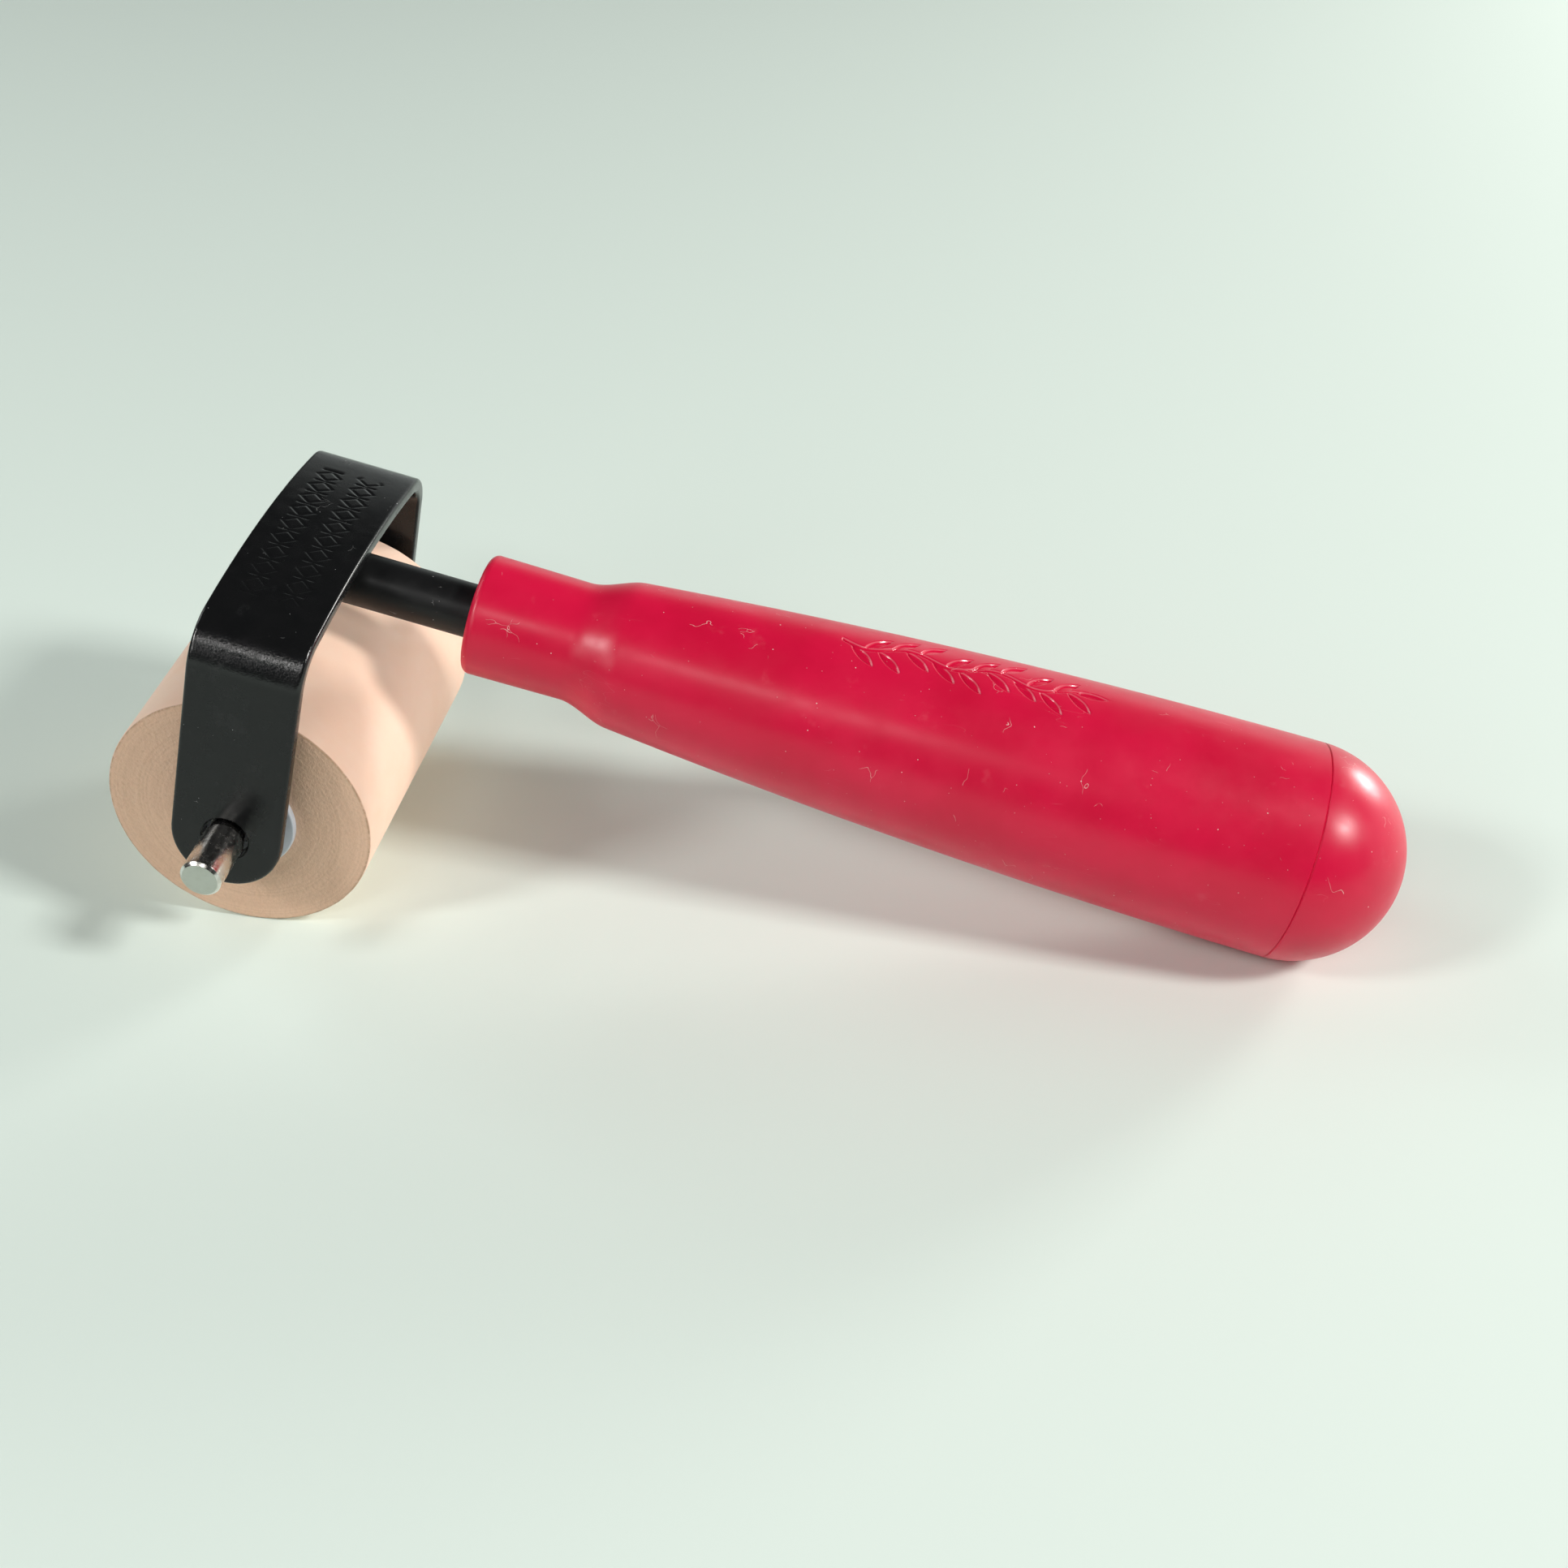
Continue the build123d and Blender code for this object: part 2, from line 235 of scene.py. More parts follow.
class Recipe:
    """A material's nodes, added one at a time. Lengths in its patterns are in millimetres."""

    def __init__(self, name):
        self.material = bpy.data.materials.new(name)
        self.material.use_nodes = True
        self.tree = self.material.node_tree
        self.tree.nodes.clear()
        where = self.tree.nodes.new("ShaderNodeTexCoord").outputs["Object"]
        lean = self.add("ShaderNodeMapping", {"vector_type": "TEXTURE"}, Vector=where)
        lean.inputs["Location"].default_value = AXLE
        lean.inputs["Rotation"].default_value = (0.0, LEAN, 0.0)
        lean.inputs["Scale"].default_value = (MM, MM, MM)
        self.place = lean.outputs[0]

    def add(self, kind, settings=None, **inputs):
        """Adds a node. Its inputs are named with _ in place of spaces."""
        node = self.tree.nodes.new(kind)
        for name, value in (settings or {}).items():
            setattr(node, name, value)
        for name, value in inputs.items():
            self.feed(node.inputs[name.replace("_", " ")], value)
        return node

    def feed(self, socket, value):
        """Links a socket to another node's output, or sets its value."""
        if isinstance(value, bpy.types.NodeSocket):
            self.tree.links.new(value, socket)
        else:
            socket.default_value = value

    def stretched(self, scale, turn=(0, 0, 0), shift=(0, 0, 0)):
        """The place scaled, turned (in degrees) and shifted, for patterns that run one way."""
        node = self.add("ShaderNodeMapping", {"vector_type": "POINT"}, Vector=self.place)
        node.inputs["Scale"].default_value = scale
        node.inputs["Rotation"].default_value = [math.radians(t) for t in turn]
        node.inputs["Location"].default_value = shift
        return node.outputs[0]

    def noise(self, size, detail=2.0, rough=0.5, source=None):
        """Cloudy noise from 0 to 1 with features of about that size."""
        inputs = {"Vector": source or self.place, "Scale": 1 / size, "Detail": detail}
        node = self.add("ShaderNodeTexNoise", Roughness=rough, **inputs)
        return node.outputs[0]

    def sum(self, operation, *values, clamp=False):
        """One step of arithmetic on sockets or numbers."""
        node = self.add("ShaderNodeMath", {"operation": operation, "use_clamp": clamp})
        for socket, value in zip(node.inputs, values):
            self.feed(socket, value)
        return node.outputs[0]

    def fade(self, value, low, high, start=0.0, end=1.0):
        """start where value is at low, end where it is at high, and smooth in between."""
        node = self.add("ShaderNodeMapRange", {"interpolation_type": "SMOOTHSTEP"}, Value=value)
        limits = {"From Min": low, "From Max": high, "To Min": start, "To Max": end}
        for name, number in limits.items():
            node.inputs[name].default_value = number
        return node.outputs[0]

    def tint(self, share, first, second):
        """A colour that runs from first, where share is 0, to second, where it is 1."""
        node = self.add("ShaderNodeMix", {"data_type": "RGBA"})
        sockets = [node.inputs[index] for index in MIX_SOCKETS]
        for socket, value in zip(sockets, (share, first, second)):
            if isinstance(value, tuple) and len(value) == 3:
                value = (*value, 1.0)
            self.feed(socket, value)
        return node.outputs[MIX_RESULT]

    def axes(self, source=None):
        """X, Y and Z of a vector, as three sockets."""
        return self.add("ShaderNodeSeparateXYZ", Vector=source or self.place).outputs

    def strands(self, size, width, share):
        """Thin curled lines of that width, shown in scattered patches only: lint."""
        curl = self.add("ShaderNodeTexNoise", Vector=self.place, Scale=2.4 / size, Detail=1.0)
        curled = self.add("ShaderNodeVectorMath", {"operation": "MULTIPLY_ADD"})
        self.feed(curled.inputs[0], curl.outputs[1])
        self.feed(curled.inputs[1], [0.7 * size] * 3)
        self.feed(curled.inputs[2], self.place)
        walls = self.add("ShaderNodeTexVoronoi", {"feature": "DISTANCE_TO_EDGE"}, Scale=1 / size)
        self.feed(walls.inputs["Vector"], curled.outputs[0])
        away = self.sum("MULTIPLY", walls.outputs["Distance"], size)
        patches = self.noise(0.9 * size, 1.0, source=self.stretched((1, 1, 1), shift=(37, 11, 5)))
        thin = self.fade(away, width * 0.3, width, 1.0, 0.0)
        return self.sum("MULTIPLY", thin, self.fade(patches, share, share + 0.02))

    def specks(self, size, radius):
        """Dust: scattered round dots of every size up to the radius."""
        cells = self.add("ShaderNodeTexVoronoi", Vector=self.place, Scale=1 / size)
        luck = self.axes(cells.outputs["Color"])[0]
        reach = self.fade(luck, 0.3, 1.0, 0.0, radius)
        away = self.sum("MULTIPLY", cells.outputs["Distance"], size)
        return self.sum("MULTIPLY", self.sum("SUBTRACT", reach, away), 5 / radius, clamp=True)

    def finish(self, height, **inputs):
        """Ends in one shader whose normal follows a height given in millimetres."""
        bump = self.add("ShaderNodeBump", Height=height, Distance=MM, Strength=1.0)
        shader = self.add("ShaderNodeBsdfPrincipled", Normal=bump.outputs[0])
        for name, value in inputs.items():
            if isinstance(value, tuple) and len(value) == 3 and name != "Subsurface_Radius":
                value = (*value, 1.0)
            self.feed(shader.inputs[name.replace("_", " ")], value)
        output = self.tree.nodes.new("ShaderNodeOutputMaterial")
        self.tree.links.new(shader.outputs[0], output.inputs["Surface"])
        return self.material


def add_all(recipe, *values):
    """The sum of several sockets."""
    total = values[0]
    for value in values[1:]:
        total = recipe.sum("ADD", total, value)
    return total


def engraved_shares(r):
    """Where the sprig is cut into the handle, and the upper band of its walls that gets a painted
    highlight.
    """
    x, y, z = r.axes()
    up = r.sum("SUBTRACT", z, STEM_HEIGHT)
    radius = r.sum("SQRT", r.sum("ADD", r.sum("MULTIPLY", y, y), r.sum("MULTIPLY", up, up)))
    along = r.sum("SUBTRACT", x, BARREL_MIDDLE[0])
    drop = r.sum("SUBTRACT", BARREL_CURVE**2, r.sum("MULTIPLY", along, along))
    whole = r.sum("ADD", r.sum("SQRT", drop), BARREL_MIDDLE[1])
    depth = r.sum("SUBTRACT", whole, radius)
    near = r.sum("ABSOLUTE", r.sum("SUBTRACT", x, SPRIG_MIDDLE))
    near = r.sum("MULTIPLY", r.fade(near, SPRIG_HALF, SPRIG_HALF + 0.3, 1.0, 0.0), r.fade(up, 9.0, 9.5))
    engraved = r.sum("MULTIPLY", near, r.fade(depth, 0.03, 0.10))
    # painted highlight: a band high on the sprig's groove walls, lightened in colour
    painted_highlight = r.sum("MULTIPLY", r.fade(depth, 0.03, 0.09), r.fade(depth, 0.16, 0.26, 1.0, 0.0))
    return engraved, r.sum("MULTIPLY", near, painted_highlight)


def red_plastic():
    """Satin moulded plastic with lint, dust, faint scuffs, a fine moulded grain and a painted highlight
    on the sprig's groove walls.
    """
    r = Recipe("red_plastic")
    dust = r.sum("MAXIMUM", r.specks(2.1, 0.11), r.specks(1.0, 0.060))
    lint = r.strands(6.0, 0.030, 0.660)
    along = r.stretched((0.18, 1.0, 1.0), (8, 14, 5))
    hairlines = r.sum("ABSOLUTE", r.sum("SUBTRACT", r.noise(1.7, 1.0, source=along), 0.5))
    worn = r.fade(r.noise(9.0, 2.0, source=r.stretched((1, 1, 1), shift=(3, 8, 21))), 0.60, 0.66)
    scratch = r.sum("MULTIPLY", r.fade(hairlines, 0.0005, 0.003, 1.0, 0.0), worn)
    cloud = r.noise(14.0, 3.0)
    scuff = r.fade(r.noise(6.0, 5.0, 0.65), 0.62, 0.80)
    colour = r.tint(r.fade(cloud, 0.3, 0.7), RED_DEEP, RED_BRIGHT)
    colour = r.tint(r.sum("MULTIPLY", scuff, 0.10), colour, (0.85, 0.25, 0.28))
    colour = r.tint(r.sum("MULTIPLY", scratch, 0.18), colour, (0.90, 0.45, 0.46))
    on_top = r.sum("MAXIMUM", r.sum("MULTIPLY", dust, 0.80), r.sum("MULTIPLY", lint, 0.50))
    colour = r.tint(on_top, colour, (0.92, 0.74, 0.70))
    rough = r.fade(r.noise(5.0, 4.0, 0.6), 0.35, 0.70, 0.31, 0.38)
    rough = r.sum("ADD", rough, r.sum("MULTIPLY", r.sum("ADD", scuff, on_top), 0.20), clamp=True)
    engraved, painted_highlight = engraved_shares(r)
    rough = r.sum("SUBTRACT", rough, r.sum("MULTIPLY", engraved, 0.16))
    # painted highlight: the upper part of the sprig's groove walls tinted pale pink
    colour = r.tint(r.sum("MULTIPLY", painted_highlight, 0.22), colour, (0.95, 0.42, 0.50))
    grain = r.sum("MULTIPLY", r.noise(0.22, 2.0), 0.0022)
    sag = r.sum("MULTIPLY", r.noise(7.0, 1.0), 0.020)
    relief = add_all(r, grain, sag, r.sum("MULTIPLY", on_top, 0.03), r.sum("MULTIPLY", scratch, -0.006))
    return r.finish(relief, Base_Color=colour, Roughness=rough, IOR=1.5, Specular_IOR_Level=0.42)


def black_enamel(name, grain_height=0.0015, peel_height=0.012, rough_range=(0.20, 0.30)):
    """Enamel on steel: orange peel, dust and smears, and a glossier sparkling grain on the bends."""
    r = Recipe(name)
    dust = r.sum("MAXIMUM", r.specks(2.1, 0.10), r.specks(1.1, 0.05))
    lint = r.strands(4.5, 0.025, 0.70)
    on_top = r.sum("MAXIMUM", r.sum("MULTIPLY", dust, 0.75), r.sum("MULTIPLY", lint, 0.30))
    smear = r.fade(r.noise(4.5, 5.0, 0.62), 0.58, 0.80)
    colour = r.tint(r.noise(3.0, 2.0), (0.0045, 0.0050, 0.0055), (0.0085, 0.0085, 0.0090))
    colour = r.tint(r.sum("MULTIPLY", smear, 0.03), colour, (0.30, 0.30, 0.31))
    colour = r.tint(on_top, colour, (0.62, 0.62, 0.62))
    x, y, z = r.axes()
    outward = r.fade(r.sum("ABSOLUTE", y), *BENDS_OUTWARD)
    bend = r.sum("MULTIPLY", outward, r.fade(z, *BENDS_UPWARD))
    fine = r.fade(r.noise(0.30, 2.0, 0.7), 0.35, 0.75)
    grain = r.sum("MULTIPLY", fine, r.fade(bend, 0.0, 1.0, grain_height, 8.0 * grain_height))
    peel = r.sum("MULTIPLY", r.noise(1.5, 1.5), peel_height)
    relief = add_all(r, grain, peel, r.sum("MULTIPLY", on_top, 0.02))
    rough = r.fade(r.noise(2.5, 4.0, 0.6), 0.30, 0.75, *rough_range)
    rough = r.sum("SUBTRACT", rough, r.sum("MULTIPLY", bend, 0.09))
    rough = r.sum("ADD", rough, r.sum("MULTIPLY", r.sum("ADD", smear, on_top), 0.22), clamp=True)
    gloss = r.fade(bend, 0.0, 1.0, 0.33, 0.60)
    return r.finish(relief, Base_Color=colour, Roughness=rough, IOR=1.5, Specular_IOR_Level=gloss)


def soft_rubber():
    """Ground tan rubber: a fine matt grain, rings and pebbles on its cut ends, and a darker rim."""
    r = Recipe("soft_rubber")
    x, y, z = r.axes()
    radius = r.sum("SQRT", r.sum("ADD", r.sum("MULTIPLY", x, x), r.sum("MULTIPLY", z, z)))
    end = r.fade(r.sum("ABSOLUTE", y), ROLLER_LENGTH / 2 - 0.30, ROLLER_LENGTH / 2 - 0.05)
    blotch = r.noise(11.0, 4.0, 0.55)
    side_colour = r.tint(r.fade(blotch, 0.3, 0.7), (0.93, 0.640, 0.485), (0.95, 0.690, 0.540))
    wobble = r.sum("MULTIPLY", r.noise(6.0, 2.0), 0.5)
    ring_place = r.add("ShaderNodeCombineXYZ", X=r.sum("ADD", radius, wobble)).outputs[0]
    rings = r.noise(0.55, 4.0, 0.7, source=ring_place)
    broad = r.noise(3.2, 2.0, 0.5, source=ring_place)
    end_colour = r.tint(r.fade(rings, 0.2, 0.8), (0.70, 0.455, 0.315), (0.83, 0.560, 0.410))
    end_colour = r.tint(r.fade(broad, 0.35, 0.65, 0.0, 0.25), end_colour, (0.68, 0.430, 0.300))
    lumps = r.noise(0.65, 3.0, 0.6)
    end_colour = r.tint(r.fade(lumps, 0.35, 0.55, 0.16, 0.0), end_colour, (0.52, 0.320, 0.210))
    colour = r.tint(end, side_colour, end_colour)
    near_rim = r.fade(radius, ROLLER_RADIUS - 0.55, ROLLER_RADIUS - 0.10)
    dirt = r.fade(r.noise(0.8, 4.0, 0.7), 0.35, 0.60)
    rim = r.sum("MULTIPLY", r.sum("MULTIPLY", near_rim, end), r.fade(dirt, 0.0, 1.0, 0.35, 0.9))
    colour = r.tint(rim, colour, (0.36, 0.215, 0.125))
    pits = r.specks(1.6, 0.07)
    colour = r.tint(r.sum("MULTIPLY", pits, 0.35), colour, (0.45, 0.28, 0.18))
    grain = r.sum("MULTIPLY", r.noise(0.35, 3.0, 0.65), 0.012)
    pebbles = r.sum("MULTIPLY", lumps, 0.20)
    cut = r.sum("MULTIPLY", end, r.sum("ADD", pebbles, r.sum("MULTIPLY", rings, 0.045)))
    nap = r.sum("MULTIPLY", r.noise(0.9, 2.0, source=r.stretched((1, 0.25, 1))), 0.010)
    relief = add_all(r, grain, cut, nap, r.sum("MULTIPLY", pits, -0.02))
    rough = r.fade(r.noise(4.0, 4.0), 0.3, 0.7, 0.56, 0.72)
    return r.finish(
        relief,
        Base_Color=colour,
        Roughness=rough,
        IOR=1.5,
        Specular_IOR_Level=0.35,
        Subsurface_Weight=0.12,
        Subsurface_Radius=(1.0, 0.5, 0.3),
        Subsurface_Scale=0.0012,
        Sheen_Weight=0.08,
        Sheen_Roughness=0.5,
    )


def bright_nickel():
    """Nickel plated rod: drawn lines along its side, turned rings on its ends, a little tarnish."""
    r = Recipe("bright_nickel")
    x, y, z = r.axes()
    radius = r.sum("SQRT", r.sum("ADD", r.sum("MULTIPLY", x, x), r.sum("MULTIPLY", z, z)))
    end = r.fade(r.sum("ABSOLUTE", y), AXLE_LENGTH / 2 - 0.05, AXLE_LENGTH / 2 - 0.01)
    drawn = r.noise(0.25, 3.0, 0.7, source=r.stretched((1, 0.03, 1)))
    ring_place = r.add("ShaderNodeCombineXYZ", X=radius).outputs[0]
    turned_rings = r.noise(0.20, 3.0, 0.7, source=ring_place)
    tarnish = r.fade(r.noise(1.6, 5.0, 0.65), 0.45, 0.75)
    colour = r.tint(tarnish, (0.80, 0.785, 0.75), (0.60, 0.575, 0.52))
    colour = r.tint(r.sum("MULTIPLY", end, 0.85), colour, (0.47, 0.49, 0.44))
    lines = r.tint(end, drawn, turned_rings)
    relief = add_all(
        r,
        r.sum("MULTIPLY", lines, 0.0030),
        r.sum("MULTIPLY", r.noise(0.7, 3.0), 0.0025),
    )
    rough = r.fade(r.noise(0.9, 5.0, 0.65), 0.35, 0.75, 0.16, 0.32)
    rough = r.sum("ADD", rough, r.sum("MULTIPLY", end, 0.16))
    return r.finish(relief, Base_Color=colour, Roughness=rough, Metallic=1.0)


def natural_nylon():
    """Milky moulded nylon with faint flow marks and a little grime."""
    r = Recipe("natural_nylon")
    grime = r.fade(r.noise(1.8, 5.0, 0.65), 0.50, 0.80)
    colour = r.tint(r.noise(2.5, 3.0), (0.52, 0.55, 0.62), (0.60, 0.62, 0.68))
    colour = r.tint(r.sum("MULTIPLY", grime, 0.35), colour, (0.52, 0.48, 0.42))
    relief = r.sum("MULTIPLY", r.noise(0.5, 4.0, 0.6), 0.008)
    rough = r.fade(r.noise(1.2, 4.0), 0.3, 0.7, 0.36, 0.52)
    return r.finish(
        relief,
        Base_Color=colour,
        Roughness=rough,
        Subsurface_Weight=0.2,
        Subsurface_Radius=(1.0, 1.0, 1.0),
        Subsurface_Scale=0.0008,
    )


def core_plastic():
    """Stiff grey tube inside the rubber."""
    r = Recipe("core_plastic")
    colour = r.tint(r.noise(3.0, 4.0), (0.48, 0.46, 0.42), (0.60, 0.58, 0.53))
    relief = r.sum("MULTIPLY", r.noise(0.6, 4.0, source=r.stretched((1, 0.2, 1))), 0.02)
    return r.finish(relief, Base_Color=colour, Roughness=r.fade(r.noise(1.0), 0.3, 0.7, 0.5, 0.7))


def spring_steel():
    """Blued spring steel with rolling lines."""
    r = Recipe("spring_steel")
    colour = r.tint(r.noise(2.0, 4.0), (0.20, 0.22, 0.28), (0.42, 0.41, 0.40))
    lines = r.noise(0.2, 3.0, source=r.stretched((1, 1, 0.05)))
    rough = r.fade(r.noise(0.8, 4.0), 0.3, 0.7, 0.25, 0.45)
    return r.finish(r.sum("MULTIPLY", lines, 0.006), Base_Color=colour, Roughness=rough, Metallic=1.0)


# ---- roller, axle and bushings ----


RIM_WANDER = 0.05
RIM_NICKS = 0.02


def make_sleeve():
    """The rubber sleeve, with a very slightly uneven ground edge at both ends."""
    half = ROLLER_LENGTH / 2
    edge = ROLLER_EDGE_RADIUS
    rim = arc((half - edge, ROLLER_RADIUS - edge), edge, 90, 0, 6)
    face = [(half, radius) for radius in spread(ROLLER_RADIUS - edge, CORE_RADIUS, 8)]
    side = [(y, ROLLER_RADIUS) for y in spread(0, half - edge, 24)]
    right = join(side, rim, face)
    left = [(-y, radius) for y, radius in reversed(right)]
    profile = join(left, right)

    def place(along, radius, turn):
        """Pulls the rim in by up to a few hundredths, so that its line isn't perfect."""
        at_rim = smooth_step(half - 3 * edge, half, abs(along))
        at_rim *= smooth_step(ROLLER_RADIUS - 3 * edge, ROLLER_RADIUS - edge, radius)
        spot = Vector((math.cos(turn) * 9, math.sin(turn) * 9, along))
        pull = at_rim * RIM_WANDER * (0.5 + 0.5 * noise.noise(spot))
        pull += at_rim * RIM_NICKS * abs(noise.noise(spot * 5))
        return about_axle(along - math.copysign(pull, along) if along else along, radius - pull, turn)

    return turned(profile, full_circle(384), place).build("rubber_sleeve_ground")


BUSHING_SMALL_EDGE = 0.15


def make_bushing(side, name):
    """A flanged plug with a spacer boss. side is +1 for the +Y end and -1 for the -Y end."""
    face = ROLLER_LENGTH / 2
    flange = face + FLANGE_THICKNESS
    boss = flange + BOSS_LENGTH
    edge = FLANGE_EDGE_RADIUS
    small = BUSHING_SMALL_EDGE
    profile = join(
        [(face - PLUG_LENGTH, BUSHING_BORE), (face - PLUG_LENGTH, PLUG_RADIUS)],
        [(face, PLUG_RADIUS), (face, FLANGE_RADIUS)],
        arc((flange - edge, FLANGE_RADIUS - edge), edge, 90, 0, 5),
        [(flange, BOSS_RADIUS + small)],
        arc((flange + small, BOSS_RADIUS + small), small, 180, 270, 3),
        arc((boss - small, BOSS_RADIUS - small), small, 90, 0, 3),
        arc((boss - small, BUSHING_BORE + small), small, 0, -90, 3),
    )
    profile = [(side * along, radius) for along, radius in profile]
    return turned(profile, full_circle(128), about_axle).build(name)


def make_pin():
    """The axle, with chamfered ends and a shallow groove where each arm sits on it."""
    end = AXLE_LENGTH / 2
    soft = 0.06
    slant = math.radians(45)
    face_edge = (end, AXLE_RADIUS - AXLE_CHAMFER)
    side_edge = (end - AXLE_CHAMFER, AXLE_RADIUS)
    step = soft * math.tan(slant / 2)
    right = join(
        [(0.0, AXLE_RADIUS), (AXLE_SEAT_INNER, AXLE_RADIUS), (AXLE_SEAT_INNER, AXLE_SEAT_RADIUS)],
        [(AXLE_SEAT_OUTER, AXLE_SEAT_RADIUS), (AXLE_SEAT_OUTER, AXLE_RADIUS)],
        arc((side_edge[0] - step, AXLE_RADIUS - soft), soft, 90, 45, 3),
        arc((end - soft, face_edge[1] - step), soft, 45, 0, 3),
        [(end, radius) for radius in spread(face_edge[1] - step, 0.0, 6)],
    )
    left = [(-along, radius) for along, radius in reversed(right)]
    shell = turned(join(left, right), full_circle(160), about_axle, closed=False)
    return shell.build("axle_pin_nickel", sharp=25.0)


# ---- frame ----

CROWN_RADIUS = (ARM_SPREAD_AT_TOP**2 + TOP_CROWN**2) / (2 * TOP_CROWN)
CROWN_CENTRE_Z = TOP_HEIGHT - CROWN_RADIUS
CORNER_Z = TOP_HEIGHT - TOP_CROWN
ARM_TURN = math.atan2(CORNER_Z, ARM_SPREAD_AT_AXLE - ARM_SPREAD_AT_TOP)
corner_reach = math.sin(ARM_TURN) * ARM_SPREAD_AT_TOP + math.cos(ARM_TURN) * (CORNER_Z - CROWN_CENTRE_Z)
CROWN_TURN = ARM_TURN - math.acos((corner_reach - SHOULDER_RADIUS) / (CROWN_RADIUS - SHOULDER_RADIUS))
CROWN_HALF = CROWN_RADIUS * CROWN_TURN
SHOULDER_HALF = CROWN_HALF + SHOULDER_RADIUS * (ARM_TURN - CROWN_TURN)
SHOULDER_CENTRE = (
    (CROWN_RADIUS - SHOULDER_RADIUS) * math.sin(CROWN_TURN),
    CROWN_CENTRE_Z + (CROWN_RADIUS - SHOULDER_RADIUS) * math.cos(CROWN_TURN),
)
ARM_TOP_Z = SHOULDER_CENTRE[1] + SHOULDER_RADIUS * math.cos(ARM_TURN)
HOLE_HALF = SHOULDER_HALF + ARM_TOP_Z / math.sin(ARM_TURN)


def bent(x, along, depth):
    """Bends a point of the flat strap to its place: across it, along it from the middle of its top,
    and below its outer face."""
    length = abs(along)
    if length <= CROWN_HALF:
        turn = length / CROWN_RADIUS
        y = CROWN_RADIUS * math.sin(turn)
        z = CROWN_CENTRE_Z + CROWN_RADIUS * math.cos(turn)
    else:
        turn = min(CROWN_TURN + (length - CROWN_HALF) / SHOULDER_RADIUS, ARM_TURN)
        y = SHOULDER_CENTRE[0] + SHOULDER_RADIUS * math.sin(turn)
        z = SHOULDER_CENTRE[1] + SHOULDER_RADIUS * math.cos(turn)
        down = max(0.0, length - SHOULDER_HALF)
        y += down * math.cos(turn)
        z -= down * math.sin(turn)
    y -= depth * math.sin(turn)
    z -= depth * math.cos(turn)
    return (x, math.copysign(y, along), z)


STAMP_DEPTH = 0.11
STAMP_EDGE = 0.24
STAMP_LINE = 0.20
STAMP_ROWS = (-3.6, 2.4)
STAMP_HALF_HEIGHT = 1.8
STAMP_PITCH = 4.0
STAMP_HALF_LENGTH = 18.2


def strap_stamp(x, along):
    """Depth of the plain stamped border on the strap's top: two rows of lozenges and bars."""
    if abs(along) > STAMP_HALF_LENGTH:
        return 0.0
    gap = 10.0
    for row, middle in enumerate(STAMP_ROWS):
        across = abs(x - middle)
        step = along / STAMP_PITCH + 0.5 * row
        nearest = (step - round(step)) * STAMP_PITCH
        outline = abs(across / STAMP_HALF_HEIGHT + abs(nearest) / (0.40 * STAMP_PITCH) - 1.0)
        lozenge = outline * 0.75 * STAMP_HALF_HEIGHT * 0.9
        bar = max(abs(abs(nearest) - STAMP_PITCH / 2), across - 0.8 * STAMP_HALF_HEIGHT)
        gap = min(gap, lozenge, bar)
    return STAMP_DEPTH * smooth_step(STAMP_LINE + STAMP_EDGE / 2, STAMP_LINE - STAMP_EDGE / 2, gap)


def no_stamp(x, along):
    """The strap's inner face is plain."""
    return 0.0


